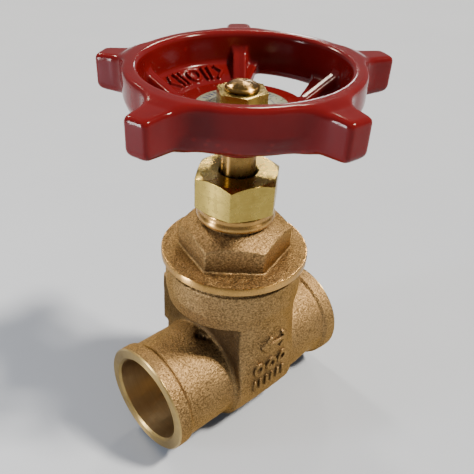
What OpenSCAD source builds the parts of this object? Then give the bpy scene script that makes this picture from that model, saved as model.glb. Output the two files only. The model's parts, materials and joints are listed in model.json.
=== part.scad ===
// Non-rising-stem bronze gate valve with solder sockets.
// The origin is the centre of the waterway: +X runs along the pipe and +Z up the stem.
// The gate is drawn fully open, with the wedge raised into the bonnet.

/* [Pipe ends] */
// Radius of the solder sockets that take the tube
socket_r = 11.2; // [11.0:0.05:11.4]
// Depth of each solder socket
socket_depth = 19.1; // [15:0.1:20]
// Length over both ends of the body
end_to_end = 58; // [56:0.1:62]
// Outer radius of the pipe ends
pipe_r = 13.5; // [13.2:0.1:14]
// Outer radius of the bead around each mouth
bead_r = 14.3; // [14.1:0.1:15]
// Width of the bead around each mouth
bead_w = 3.6; // [2:0.1:5]

/* [Body] */
// Radius of the waterway between the sockets
port_r = 9.5; // [8.5:0.1:9.5]
// Half the thickness of the gate chamber along the pipe
chamber_half_x = 9.85; // [9.8:0.05:11]
// Radius of the rounded bottom of the gate chamber
chamber_r = 15.2; // [15:0.1:16]
// Height of the ledge where the round neck starts
ledge_z = 21.4; // [20:0.1:22]
// Height of the top face of the neck
neck_top_z = 33; // [32.5:0.1:33]
// Outer radius of the neck
neck_r = 16.9; // [16.5:0.1:17.2]

/* [Bonnet] */
// Outer radius of the bonnet flange
flange_r = 17.9; // [17.3:0.1:19]
// Thickness of the bonnet flange
flange_t = 2.0; // [1.6:0.1:2.4]
// Corner radius of the cast bonnet hexagon
bonnet_hex_r = 13.7; // [13.5:0.1:15]
// Radius of the turned bead under the packing nut
collar_bead_r = 9.3; // [8.9:0.1:9.6]

/* [Packing nut] */
// Width across the flats of the packing nut
nut_flats = 18; // [17.6:0.1:19]
// Height of the packing nut
nut_h = 8.4; // [8.4:0.1:9]

/* [Stem and wedge] */
// Radius of the stem where it passes the packing
stem_r = 3.96; // [3.8:0.01:4]
// Axial travel of the thread in one turn
thread_lead = 3; // [2.5:0.1:3.5]
// Lift of the wedge from shut to fully open
travel = 21; // [20.8:0.1:21.2]
// Slope of each wedge face from the vertical, in degrees
seat_angle = 3.5; // [2:0.1:4]

/* [Handwheel] */
// Outer radius of the handwheel rim
rim_r = 24.74; // [24:0.1:27]
// Height of the handwheel rim
rim_h = 9.6; // [8.8:0.1:10]
// Radius to the tips of the grip lugs
lug_tip_r = 32.6; // [31:0.1:35]
// Radius of the identification plate
plate_r = 10.2; // [9:0.1:12]
// Width across the flats of the handwheel nut
wheel_nut_flats = 10; // [9.5:0.1:11]

/* [Hidden] */

// Colours
cast_bronze = "peru";
yellow_brass = "darkkhaki";
red_enamel = "firebrick";
black_fibre = "darkslategray";
plate_tin = "whitesmoke";
graphite = "dimgray";

// General
smooth = 96;
eps = 0.01;
slack = 0.05;               // radial gap that stands in for a screw thread

// Body
end_x = end_to_end / 2;
mouth_chamfer = 0.7;
bead_round = 1.0;
wall_x = 2.25;              // chamber wall along the pipe
cavity_half_x = chamber_half_x - wall_x;
panel_y = 16.3;             // face of the flat panel on the back of the chamber
panel_z = 6;
cavity_r = 12.8;
seat_half_x = 5.65;         // seat face from the centre plane, on the pipe axis
seat_r = 11.6;
rib_half_x = 1.5;           // guide ribs for the wedge
rib_y = 10.4;
neck_low_r = 16.2;
neck_cavity_r = 13.2;
neck_cavity_z = 23.6;
neck_thread_r = 14.05;
neck_thread_z = 26.5;

// Bonnet gasket and bonnet
gasket_t = 0.4;
flange_z = neck_top_z + gasket_t;
flange_top_z = flange_z + flange_t;
spigot_z = 27;
spigot_bore_r = 12.2;
bonnet_hex_az = 16.4;       // azimuth of one corner
hex_top_z = 41;
shoulder_z = 43.4;
shoulder_r = 8.5;
collar_top_z = 46.3;
bead_z = 45.1;              // middle of the turned bead
land_r = 8.8;
land_top_z = 47.3;
bonnet_neck_r = 7.6;
bonnet_top_z = 53;
cavity_top_z = 40;
boss_room_r = 6.5;
boss_room_z = 37;           // from here up the cavity is only as wide as the boss
stem_hole_r = 3.4;
box_floor_z = 42;           // floor of the stuffing box
box_r = 6.0;

// Packing nut
nut_z = 47.6;
nut_top_z = nut_z + nut_h;
nut_az = 38.15;
nut_roof_t = 2;
nut_hole_r = 4.4;

// Stem
thread_r = 3.3;
thread_depth = 0.8;
stem_foot_z = 10.2;
thread_top_z = 37.5;
stem_collar_r = 5.8;
stem_collar_h = 2.5;
shank_top_z = 61;
square_half = 3.1;          // wider than the stud, so the wheel passes over the stud
stud_r = 3.0;
stud_top_z = 76.4;
stud_head_r = 3.7;          // end spread over the nut, so it cannot work loose

// Stuffing box stack, from the floor up
washer_z = box_floor_z + stem_collar_h;
washer_t = 0.7;
packing_z = washer_z + washer_t;
ring_h = 5.2 / 3;
gland_z = packing_z + 3 * ring_h;
gland_h = nut_top_z - nut_roof_t - gland_z;
ring_r = 5.95;
ring_bore_r = 4.0;

// Wedge
wedge_r = 11.2;
wedge_half_x = seat_half_x - slack / cos(seat_angle);
wedge_boss_r = 5.0;
wedge_boss_top = 18;
wedge_bore_r = thread_r + slack;
wedge_slot_half_x = rib_half_x + 0.4;
wedge_slot_y = rib_y - 0.3;

// Handwheel
rim_top_z = 80.07;
rim_z = rim_top_z - rim_h;
rim_in_r = 21;
rim_in_top_r = 21.57;
lug_az = 47.8;
lug_step = 72;
lug_z = 72;
lug_top_z = 78.8;
hub_r = 14.4;
hub_top_z = 70.8;
hub_t = 3;
hub_boss_r = 7;
hub_boss_z = 62;
web_top_z = 73.1;
web_t = 2;
window_r = 14.2;
spoke_ridge_z = 69.4;       // ridge height where a spoke starts, under the hub's top
spoke_pitch = 37;           // climb of the ridge, in degrees
plate_t = 0.4;
wheel_nut_z = hub_top_z + plate_t;
wheel_nut_top_z = 74.6;
wheel_nut_az = 56;
wheel_nut_face_r = 5.2;     // the nut's corners are turned off outside this radius

// Right half of a plan outline, mirrored to close it
function mirrored(points) = concat(
    points,
    [for (i = [len(points) - 1 : -1 : 0]) [points[i][0], -points[i][1]]]
);

module ring(inner, outer, height) {
    difference() {
        cylinder(r = outer, h = height, $fn = smooth);
        translate([0, 0, -1])
            cylinder(r = inner, h = height + 2, $fn = smooth);
    }
}

// A hexagonal prism with its upper corners turned off at 30 degrees
module chamfered_hex(flats, height, azimuth, face_r) {
    corner = flats / sqrt(3);
    drop = (corner - face_r) * tan(30);
    intersection() {
        rotate(azimuth)
            cylinder(r = corner, h = height, $fn = 6);
        union() {
            cylinder(r = corner + eps, h = height - drop, $fn = smooth);
            translate([0, 0, height - drop])
                cylinder(r1 = corner + eps, r2 = face_r, h = drop, $fn = smooth);
        }
    }
}

// One pipe end: tube, bead and the socket mouth, along +X
module pipe_outside() {
    rotate([0, 90, 0])
        rotate_extrude($fn = smooth)
            polygon([
                [0, 0],
                [pipe_r, 0],
                [pipe_r, end_x - bead_w - bead_round],
                [bead_r, end_x - bead_w],
                [bead_r, end_x],
                [0, end_x]
            ]);
}

module socket_inside() {
    rotate([0, 90, 0])
        rotate_extrude($fn = smooth)
            polygon([
                [0, 0],
                [port_r, 0],
                [port_r, end_x - socket_depth],
                [socket_r, end_x - socket_depth],
                [socket_r, end_x - mouth_chamfer],
                [socket_r + mouth_chamfer, end_x + eps],
                [0, end_x + eps]
            ]);
}

module both_ends() {
    children();
    mirror([1, 0, 0])
        children();
}

// The slab that the wedge slides in, between two flat walls
module chamber_outside() {
    intersection() {
        translate([-chamber_half_x, -neck_r, -chamber_r])
            cube([2 * chamber_half_x, 2 * neck_r, ledge_z + chamber_r + 1]);
        union() {
            cylinder(r1 = neck_low_r - 0.3, r2 = neck_low_r, h = ledge_z + 1, $fn = smooth);
            rotate([0, 90, 0])
                cylinder(r = chamber_r, h = 3 * chamber_half_x, center = true, $fn = smooth);
            translate([-2 * chamber_half_x, 0, panel_z])
                cube([4 * chamber_half_x, panel_y, ledge_z + 0.6 - panel_z]);
        }
    }
}

module chamber_inside() {
    intersection() {
        translate([-cavity_half_x, -cavity_r, -cavity_r])
            cube([2 * cavity_half_x, 2 * cavity_r, neck_cavity_z + cavity_r + eps]);
        union() {
            rotate([0, 90, 0])
                cylinder(r = cavity_r, h = 3 * cavity_half_x, center = true, $fn = smooth);
            translate([-cavity_half_x, -cavity_r, 0])
                cube([2 * cavity_half_x, 2 * cavity_r, neck_cavity_z + 1]);
        }
    }
}

// A seat ring stands in from one chamber wall and ends at the sloping seat face
module seat_ring() {
    intersection() {
        rotate([0, 90, 0])
            cylinder(r = seat_r, h = cavity_half_x + eps, $fn = smooth);
        rotate([0, seat_angle, 0])
            translate([seat_half_x * cos(seat_angle), -seat_r - 1, -2 * seat_r])
                cube([cavity_half_x, 2 * seat_r + 2, 4 * seat_r]);
    }
}

module guide_ribs() {
    for (side = [-1, 1])
        translate([-rib_half_x, side > 0 ? rib_y : -cavity_r - 1, -6])
            cube([2 * rib_half_x, cavity_r + 1 - rib_y, neck_cavity_z - 3 + 6]);
}

module valve_body() {
    color(cast_bronze)
        difference() {
            union() {
                difference() {
                    union() {
                        both_ends()
                            pipe_outside();
                        chamber_outside();
                        translate([0, 0, ledge_z])
                            cylinder(r1 = neck_low_r, r2 = neck_r, h = 4, $fn = smooth);
                        translate([0, 0, ledge_z + 4])
                            cylinder(r = neck_r, h = neck_top_z - ledge_z - 4, $fn = smooth);
                    }
                    chamber_inside();
                    translate([0, 0, neck_cavity_z])
                        cylinder(r = neck_cavity_r, h = 10, $fn = smooth);
                    translate([0, 0, neck_thread_z])
                        cylinder(r = neck_thread_r, h = 10, $fn = smooth);
                }
                both_ends()
                    seat_ring();
                guide_ribs();
            }
            both_ends()
                socket_inside();
        }
}

// The wedge in its shut place, with sloping faces, side slots and a threaded boss
module wedge_shut() {
    difference() {
        union() {
            intersection() {
                rotate([0, 90, 0])
                    cylinder(r = wedge_r, h = 4 * wedge_half_x, center = true, $fn = smooth);
                both_ends()
                    wedge_half();
            }
            cylinder(r = wedge_boss_r, h = wedge_boss_top, $fn = smooth);
        }
        translate([0, 0, -2 * wedge_r])
            cylinder(r = wedge_bore_r, h = 4 * wedge_r, $fn = smooth);
        for (side = [-1, 1])
            translate([-wedge_slot_half_x, side > 0 ? wedge_slot_y : -wedge_slot_y - 5, -wedge_r])
                cube([2 * wedge_slot_half_x, 5, 2 * wedge_r]);
    }
}

module wedge_half() {
    intersection() {
        translate([-eps, -2 * wedge_r, -2 * wedge_r])
            cube([4 * wedge_r, 4 * wedge_r, 4 * wedge_r]);
        rotate([0, seat_angle, 0])
            translate([wedge_half_x * cos(seat_angle) - 6 * wedge_r, -3 * wedge_r, -3 * wedge_r])
                cube([6 * wedge_r, 6 * wedge_r, 6 * wedge_r]);
    }
}

module gate_wedge() {
    color(cast_bronze)
        translate([0, 0, travel])
            wedge_shut();
}

module bonnet_gasket() {
    color(black_fibre)
        translate([0, 0, neck_top_z])
            ring(neck_thread_r + 0.1, neck_r - 0.1, gasket_t);
}

module bonnet_outside() {
    translate([0, 0, spigot_z])
        cylinder(r = neck_thread_r - slack, h = flange_z - spigot_z + eps, $fn = smooth);
    translate([0, 0, flange_z])
        cylinder(r = flange_r, h = flange_t, $fn = smooth);
    intersection() {
        translate([0, 0, flange_top_z - eps])
            rotate(bonnet_hex_az)
                cylinder(r = bonnet_hex_r, h = shoulder_z - flange_top_z, $fn = 6);
        rotate_extrude($fn = smooth)
            polygon([
                [0, flange_z],
                [bonnet_hex_r + 1, flange_z],
                [bonnet_hex_r + 1, hex_top_z - 0.9],
                [shoulder_r, shoulder_z],
                [0, shoulder_z]
            ]);
    }
    rotate_extrude($fn = smooth)
        polygon(concat(
            [[0, shoulder_z - 1], [shoulder_r, shoulder_z - 1], [shoulder_r, shoulder_z]],
            [for (a = [-60 : 20 : 60]) [collar_bead_r - 1.2 + 1.2 * cos(a), bead_z + 1.2 * sin(a)]],
            [
                [land_r, collar_top_z],
                [land_r, land_top_z],
                [bonnet_neck_r, land_top_z],
                [bonnet_neck_r, bonnet_top_z - 0.4],
                [bonnet_neck_r - 0.4, bonnet_top_z],
                [0, bonnet_top_z]
            ]
        ));
}

module bonnet() {
    color(cast_bronze)
        difference() {
            bonnet_outside();
            rotate_extrude($fn = smooth)
                polygon([
                    [0, spigot_z - 1],
                    [spigot_bore_r, spigot_z - 1],
                    [spigot_bore_r, boss_room_z - 3],
                    [boss_room_r, boss_room_z],
                    [boss_room_r, cavity_top_z],
                    [0, cavity_top_z]
                ]);
            translate([0, 0, cavity_top_z - 1])
                cylinder(r = stem_hole_r, h = 4, $fn = smooth);
            translate([0, 0, box_floor_z])
                cylinder(r = box_r, h = 20, $fn = smooth);
        }
}

// Outline of one thread groove, from its lower crest up to the next one
function groove(z) = [
    [thread_r, z + 0.15 * thread_lead],
    [thread_r - thread_depth, z + 0.35 * thread_lead],
    [thread_r - thread_depth, z + 0.65 * thread_lead],
    [thread_r, z + 0.85 * thread_lead]
];

module stem() {
    color(yellow_brass) {
        rotate_extrude($fn = smooth)
            polygon(concat([[0, stem_foot_z], [thread_r - thread_depth, stem_foot_z]],
                [for (z = [stem_foot_z + 0.3 : thread_lead : thread_top_z - thread_lead]) each groove(z)], [
                [thread_r, box_floor_z],
                [stem_collar_r, box_floor_z],
                [stem_collar_r, washer_z],
                [stem_r, washer_z],
                [stem_r, shank_top_z],
                [0, shank_top_z]
            ]));
        intersection() {
            translate([-square_half, -square_half, shank_top_z - eps])
                cube([2 * square_half, 2 * square_half, hub_top_z - 0.3 - shank_top_z]);
            cylinder(r = stem_r, h = hub_top_z, $fn = smooth);
        }
        rotate_extrude($fn = smooth)
            polygon([
                [0, shank_top_z],
                [stud_r - 0.3, shank_top_z],
                [stud_r - 0.3, hub_top_z - 0.4],
                [stud_r, hub_top_z],
                [stud_r, wheel_nut_top_z + slack],
                [stud_head_r - 0.1, wheel_nut_top_z + slack],
                [stud_head_r, wheel_nut_top_z + 0.4],
                [stud_head_r - 0.4, stud_top_z - 0.7],
                [2.2, stud_top_z - 0.2],
                [1, stud_top_z],
                [0, stud_top_z]
            ]);
    }
}

module thrust_washer() {
    color(yellow_brass)
        translate([0, 0, washer_z])
            ring(ring_bore_r, ring_r, washer_t);
}

module packing_ring(level) {
    color(graphite)
        translate([0, 0, packing_z + level * ring_h])
            ring(ring_bore_r, ring_r, ring_h);
}

module gland_follower() {
    color(yellow_brass)
        translate([0, 0, gland_z])
            ring(ring_bore_r, ring_r, gland_h);
}

module packing_nut() {
    color(yellow_brass)
        translate([0, 0, nut_z])
            difference() {
                chamfered_hex(nut_flats, nut_h, nut_az, nut_flats / 2);
                translate([0, 0, -1])
                    cylinder(r = bonnet_neck_r + slack, h = nut_h - nut_roof_t + 1, $fn = smooth);
                cylinder(r = nut_hole_r, h = 20, $fn = smooth);
            }
}

module wheel_rim() {
    rotate_extrude($fn = smooth)
        polygon([
            [rim_in_r - 0.1, rim_z + 0.3],
            [rim_in_r + 0.3, rim_z],
            [rim_r - 1.7, rim_z],
            [rim_r - 1.0, rim_z + 0.5],
            [rim_r - 0.2, rim_z + 3.0],
            [rim_r, rim_z + 4.2],
            [rim_r, rim_top_z - 1.1],
            [rim_r - 0.35, rim_top_z - 0.35],
            [rim_r - 1.1, rim_top_z],
            [rim_in_top_r + 0.7, rim_top_z],
            [rim_in_top_r + 0.2, rim_top_z - 0.2],
            [rim_in_top_r, rim_top_z - 0.7]
        ]);
}

// Grip lugs flare into the rim and thin towards a blunt tip
module lugs() {
    outline = [
        [rim_in_top_r + 0.8, 6.4],
        [rim_r - 0.2, 6.0],
        [rim_r + 1.4, 4.5],
        [rim_r + 3.2, 3.6],
        [lug_tip_r - 0.9, 2.9],
        [lug_tip_r, 2.0]
    ];
    for (k = [0 : 4])
        rotate(lug_az + k * lug_step)
            difference() {
                translate([0, 0, lug_z])
                    linear_extrude(height = lug_top_z - lug_z)
                        polygon(mirrored(outline));
                translate([lug_tip_r, -5, lug_z])
                    rotate([0, -35, 0])
                        translate([-2, 0, -4])
                            cube([4, 10, 4]);
            }
}

module hub_and_web() {
    rotate_extrude($fn = smooth)
        polygon([
            [0, hub_boss_z],
            [hub_boss_r, hub_boss_z],
            [hub_boss_r + 0.6, hub_top_z - hub_t],
            [hub_r, hub_top_z - hub_t],
            [rim_in_r + 0.5, web_top_z - web_t],
            [rim_in_r + 0.5, web_top_z],
            [hub_r, hub_top_z - 0.3],
            [hub_r - 0.5, hub_top_z],
            [0, hub_top_z]
        ]);
}

// Open sectors between the spokes; the fifth sector stays a solid web
module windows() {
    // Window edges beside the two spokes, each as a slope and a half-width at the hub
    flare = 0.9;
    taper = 0.33;
    half = 2.1;
    far = 40;
    height = rim_top_z - hub_boss_z;
    for (k = [1 : 4])
        rotate(lug_az + k * lug_step)
            translate([0, 0, hub_boss_z])
                intersection() {
                    ring(window_r, rim_in_r, height);
                    linear_extrude(height = height)
                        polygon([
                            [0, half - flare * window_r],
                            [far, half + flare * (far - window_r)],
                            [0, 2 * far],
                            [-far, 0]
                        ]);
                    rotate(lug_step)
                        linear_extrude(height = height)
                            polygon([
                                [0, taper * window_r - half],
                                [far, -half - taper * (far - window_r)],
                                [0, -2 * far],
                                [-far, 0]
                            ]);
                }
}

// A rib runs down from the rim wall to the hub, over the edges of two windows
module spoke() {
    inner = 12;
    outer = rim_in_r + 1.4;
    top_half = 1.2;
    foot_z = hub_top_z - hub_t + 0.3;
    intersection() {
        linear_extrude(height = rim_top_z)
            polygon([[inner, -2.2], [outer, -4.4], [outer, 4.4], [inner, 2.2]]);
        rotate_extrude($fn = smooth)
            polygon([
                [0, foot_z],
                [hub_r, foot_z],
                [outer + 1, rim_z + 0.6],
                [outer + 1, rim_top_z],
                [0, rim_top_z]
            ]);
        translate([inner, 0, spoke_ridge_z])
            rotate([0, -spoke_pitch, 0])
                rotate([90, 0, 90])
                    translate([0, 0, -10])
                        linear_extrude(height = 40)
                            polygon([[-top_half, 0], [top_half, 0], [8, -12], [-8, -12]]);
    }
}

module handwheel() {
    color(red_enamel)
        difference() {
            union() {
                wheel_rim();
                lugs();
                difference() {
                    hub_and_web();
                    windows();
                }
                for (k = [0 : 4])
                    rotate(lug_az + k * lug_step)
                        spoke();
            }
            translate([-square_half - slack, -square_half - slack, hub_boss_z - 1])
                cube([2 * (square_half + slack), 2 * (square_half + slack), 20]);
        }
}

module identification_plate() {
    color(plate_tin)
        translate([0, 0, hub_top_z])
            ring(stud_r + 0.2, plate_r, plate_t);
}

module handwheel_nut() {
    color(yellow_brass)
        translate([0, 0, wheel_nut_z])
            difference() {
                chamfered_hex(wheel_nut_flats, wheel_nut_top_z - wheel_nut_z, wheel_nut_az, wheel_nut_face_r);
                translate([0, 0, -1])
                    cylinder(r = stud_r + slack, h = 10, $fn = smooth);
            }
}

valve_body();
gate_wedge();
bonnet_gasket();
bonnet();
stem();
thrust_washer();
packing_ring(0);  // packing_ring_lower
packing_ring(1);  // packing_ring_middle
packing_ring(2);  // packing_ring_upper
gland_follower();
packing_nut();
handwheel();
identification_plate();
handwheel_nut();
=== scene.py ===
"""Looks of a non-rising-stem bronze gate valve with solder sockets.

The shapes are worked out in millimetres in the CAD frame: +X along the pipe,
+Z up the stem, origin in the centre of the waterway.
"""
import json
import math

import bmesh
import bpy
import numpy as np
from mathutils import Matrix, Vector


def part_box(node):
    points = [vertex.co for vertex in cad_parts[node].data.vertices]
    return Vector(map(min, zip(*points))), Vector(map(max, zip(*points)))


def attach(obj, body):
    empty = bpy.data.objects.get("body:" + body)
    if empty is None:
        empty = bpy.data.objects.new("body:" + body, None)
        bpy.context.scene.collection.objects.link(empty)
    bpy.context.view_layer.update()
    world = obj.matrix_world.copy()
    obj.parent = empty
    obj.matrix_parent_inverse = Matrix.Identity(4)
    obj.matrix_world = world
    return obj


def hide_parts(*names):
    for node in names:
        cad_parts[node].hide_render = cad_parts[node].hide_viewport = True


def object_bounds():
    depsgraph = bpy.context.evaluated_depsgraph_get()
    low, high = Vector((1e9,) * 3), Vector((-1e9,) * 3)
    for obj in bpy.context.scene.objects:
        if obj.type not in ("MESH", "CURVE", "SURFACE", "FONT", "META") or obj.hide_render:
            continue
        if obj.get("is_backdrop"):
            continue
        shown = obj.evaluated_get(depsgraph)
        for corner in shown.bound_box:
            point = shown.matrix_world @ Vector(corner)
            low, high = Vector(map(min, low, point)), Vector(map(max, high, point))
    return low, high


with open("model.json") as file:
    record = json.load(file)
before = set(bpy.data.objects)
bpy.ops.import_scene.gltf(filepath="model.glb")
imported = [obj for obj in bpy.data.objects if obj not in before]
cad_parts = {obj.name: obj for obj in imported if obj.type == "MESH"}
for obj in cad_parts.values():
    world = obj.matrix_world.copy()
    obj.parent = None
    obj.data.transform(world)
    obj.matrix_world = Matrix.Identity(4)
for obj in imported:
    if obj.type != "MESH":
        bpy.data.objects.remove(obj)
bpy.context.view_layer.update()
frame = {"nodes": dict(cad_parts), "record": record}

MM = 0.001
TURN = 2 * math.pi


def box(node):
    """Lowest and highest corners of a CAD node, in millimetres."""
    low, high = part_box(node)
    return np.array(low) / MM, np.array(high) / MM


# ---------------------------------------------------------------- dimensions
# Millimetres and degrees. Sizes that the CAD fixes come from its boxes and mounts.

BODY_LOW, BODY_HIGH = box("valve_body")
BONNET_LOW, BONNET_HIGH = box("bonnet")
NUT_LOW, NUT_HIGH = box("packing_nut")
STEM_LOW, STEM_HIGH = box("stem")
WHEEL_LOW, WHEEL_HIGH = box("handwheel")
PLATE_LOW, PLATE_HIGH = box("identification_plate")
WHEEL_NUT_LOW, WHEEL_NUT_HIGH = box("handwheel_nut")

MOUNTS = {mount["name"]: mount for mount in frame["record"]["mounts"]}
SOCKET_R = MOUNTS["inlet_socket"]["dims"]["r_mm"]
PORT_R = MOUNTS["flow_port"]["dims"]["r_mm"]

# Valve body
END_X = BODY_HIGH[0]
PIPE_R = 13.5
BEAD_R = 14.3
BEAD_W = 3.6
SOCKET_DEPTH = 19.1
CHAMBER_X = 9.85
CHAMBER_R = -BODY_LOW[2]
PANEL_Y = 16.55
LEDGE_Z = 21.4
NECK_TOP = BODY_HIGH[2]
NECK_R = BODY_HIGH[1]
SCARS = ((-12.3, -1.6, 13.2, 0.95), (-11.5, -3.0, 12.9, 0.6))

# Bonnet
FLANGE_R = BONNET_HIGH[0]
FLANGE_Z = NECK_TOP + 0.4
FLANGE_TOP = FLANGE_Z + 2.0
BONNET_HEX_R = 13.7
BONNET_HEX_AZIMUTH = 16.4
BONNET_HEX_TOP = 40.75

# Stem
THREAD_LEAD = 3.0
THREAD_CREST_R = 3.3
THREAD_DEPTH = 0.8
THREAD_TOP = 37.5

# Handwheel
RIM_R = 24.74
RIM_HEIGHT = 9.6
RIM_TOP = WHEEL_HIGH[2]
RIM_LOW = RIM_TOP - RIM_HEIGHT
LUG_TIP_R = 32.6
LUG_AZIMUTH = 47.8
LUGS = 5
LUG_EXTRA = (0, 0, 0.75, 0, 0.55)
HUB_TOP = PLATE_LOW[2]
HUB_R = 14.4

BODY_CELL = 0.34
BONNET_CELL = 0.26
WHEEL_CELL = 0.34


# ------------------------------------------------------------ distance fields

def smooth_min(a, b, r):
    """The smaller of two distances, with a fillet about r wide where they meet."""
    h = np.maximum(r - np.abs(a - b), 0) / r
    return np.minimum(a, b) - h * h * r / 4


def smooth_max(a, b, r):
    """The larger of two distances, with a rounded edge about r wide."""
    return -smooth_min(-a, -b, r)


def ease(t):
    """Smooth step from 0 to 1 as t goes from 0 to 1."""
    t = np.clip(t, 0, 1)
    return t * t * (3 - 2 * t)


def ripple(x, y, z, size):
    """Gentle waves a few millimetres long, as a sand mould leaves them."""
    k = TURN / size
    return (
        np.sin(k * x + 2.1 * np.sin(0.7 * k * y)) * np.sin(k * y + 1.7 * np.sin(0.6 * k * z))
        + np.sin(0.8 * k * z + 1.9 * np.sin(0.9 * k * x))
    ) / 2


def skin(x, y, z, size):
    """Unevenness of a sand-cast face: long waves and small lumps."""
    return 0.05 * ripple(x, y, z, size) + 0.018 * ripple(y, z, x, 1.9)


def segment(u, v, start, end, half_width):
    """Distance in a plane to a bar with round ends."""
    ax, ay = start
    dx, dy = end[0] - ax, end[1] - ay
    t = np.clip(((u - ax) * dx + (v - ay) * dy) / (dx * dx + dy * dy), 0, 1)
    return np.hypot(u - ax - t * dx, v - ay - t * dy) - half_width


def surface_net(distance, low, high, step):
    """Quad mesh of distance(x, y, z) = 0, with one vertex in each crossed cell."""
    axes = [
        np.arange(a - 1.5 * step, b + 2 * step, step, dtype=np.float32)
        for a, b in zip(low, high)
    ]
    d = distance(*np.meshgrid(*axes, indexing="ij")).astype(np.float32)
    cells = tuple(n - 1 for n in d.shape)
    total = np.zeros(cells + (3,), dtype=np.float32)
    count = np.zeros(cells, dtype=np.float32)
    crossings = []
    for axis in range(3):
        one, two = [a for a in range(3) if a != axis]
        near = np.take(d, np.arange(cells[axis]), axis)
        far = np.take(d, np.arange(1, cells[axis] + 1), axis)
        crossed = (near < 0) != (far < 0)
        part = np.where(crossed, near / np.where(crossed, near - far, 1), 0)
        crossings.append((crossed, near < 0))
        for i in (0, 1):
            for j in (0, 1):
                window = [slice(None)] * 3
                window[one] = slice(i, i + cells[one])
                window[two] = slice(j, j + cells[two])
                here = crossed[tuple(window)]
                count += here
                total[..., axis] += part[tuple(window)]
                total[..., one] += here * i
                total[..., two] += here * j
    used = count > 0
    number = np.full(cells, -1, dtype=np.int64)
    number[used] = np.arange(used.sum())
    corner = np.argwhere(used)
    origin = np.array([a[0] for a in axes])
    points = origin + step * (corner + total[used] / count[used][:, None])
    quads = []
    for axis in range(3):
        one, two = [a for a in range(3) if a != axis]
        crossed, starts_inside = crossings[axis]
        edge = np.argwhere(crossed)
        ok = (edge[:, one] > 0) & (edge[:, two] > 0)
        ok &= (edge[:, one] < cells[one]) & (edge[:, two] < cells[two])
        edge = edge[ok]
        flip = starts_inside[tuple(edge.T)] != (axis == 1)
        ring = []
        for i, j in ((-1, -1), (0, -1), (0, 0), (-1, 0)):
            cell = edge.copy()
            cell[:, one] += i
            cell[:, two] += j
            ring.append(number[tuple(cell.T)])
        quad = np.stack(ring, axis=1)
        quad[~flip] = quad[~flip][:, ::-1]
        quads.append(quad)
    return settle(points, distance, step), np.concatenate(quads)


def settle(points, distance, step):
    """Move vertices down the gradient until they lie on the surface."""
    h = 0.02
    least_slope = 0.2
    for _ in range(3):
        x, y, z = points.T
        d = distance(x, y, z)
        slope = np.stack([
            distance(x + h, y, z) - distance(x - h, y, z),
            distance(x, y + h, z) - distance(x, y - h, z),
            distance(x, y, z + h) - distance(x, y, z - h),
        ], axis=1) / (2 * h)
        move = -d[:, None] * slope / np.maximum((slope ** 2).sum(axis=1), least_slope)[:, None]
        points = points + np.clip(move, -step / 2, step / 2)
    return points


# -------------------------------------------------------------------- meshes

def new_object(name, points, faces, smooth=True):
    """Make an object from points in millimetres."""
    mesh = bpy.data.meshes.new(name)
    mesh.from_pydata((np.asarray(points) * MM).tolist(), [], [tuple(map(int, f)) for f in faces])
    mesh.validate()
    if smooth:
        mesh.shade_smooth()
    piece = bpy.data.objects.new(name, mesh)
    bpy.context.scene.collection.objects.link(piece)
    return piece


def cast_piece(name, distance, low, high, step):
    """A casting, meshed from its distance field between two corners."""
    points, quads = surface_net(distance, low, high, step)
    return new_object(name, points, quads)


def ring_grid(name, rings, closed):
    """Join rings of points, each an (n, 3) array; closed joins the last to the first."""
    n = len(rings[0])
    points = np.concatenate(rings)
    faces = []
    spans = len(rings) if closed else len(rings) - 1
    for k in range(spans):
        a, b = k * n, ((k + 1) % len(rings)) * n
        faces += [(a + i, a + (i + 1) % n, b + (i + 1) % n, b + i) for i in range(n)]
    if not closed:
        faces.append(tuple(range(n - 1, -1, -1)))
        faces.append(tuple(range(len(points) - n, len(points))))
    return new_object(name, points, faces)


def turned(name, outline, closed=True, segments=128, along="z"):
    """Turn an outline of (radius, height) steps; a radius may be a function of the angle."""
    angle = np.arange(segments) * TURN / segments
    rings = []
    for radius, height in outline:
        r = radius(angle) if callable(radius) else np.full(segments, float(radius))
        h = height(angle) if callable(height) else np.full(segments, float(height))
        across = (r * np.cos(angle), r * np.sin(angle))
        rings.append(np.stack([*across, h] if along == "z" else [h, *across], axis=1))
    return ring_grid(name, rings, closed)


def apply_modifiers(piece):
    graph = bpy.context.evaluated_depsgraph_get()
    mesh = bpy.data.meshes.new_from_object(piece.evaluated_get(graph))
    piece.modifiers.clear()
    piece.data = mesh


def combine(piece, tool, operation):
    """Cut or clip a piece with a tool solid, which is then removed."""
    change = piece.modifiers.new("combine", "BOOLEAN")
    change.operation = operation
    change.solver = "EXACT"
    change.object = tool
    apply_modifiers(piece)
    bpy.data.objects.remove(tool)


def soften(piece, width, angle=25, segments=3):
    """Round the sharp edges of a machined piece by a small bevel, in millimetres."""
    bevel = piece.modifiers.new("edges", "BEVEL")
    bevel.width = width * MM
    bevel.segments = segments
    bevel.limit_method = "ANGLE"
    bevel.angle_limit = math.radians(angle)
    bevel.harden_normals = True
    apply_modifiers(piece)


def crisp(piece, angle=35):
    """Keep edges sharper than an angle crisp in the shading."""
    piece.data.set_sharp_from_angle(angle=math.radians(angle))


def hexagon(flats, azimuth):
    """Radius of a hexagon against the angle, with one corner at azimuth (degrees)."""
    def radius(angle):
        turn = np.mod(angle - math.radians(azimuth), TURN / 6) - TURN / 12
        return flats / 2 / np.cos(turn)
    return radius


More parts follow.
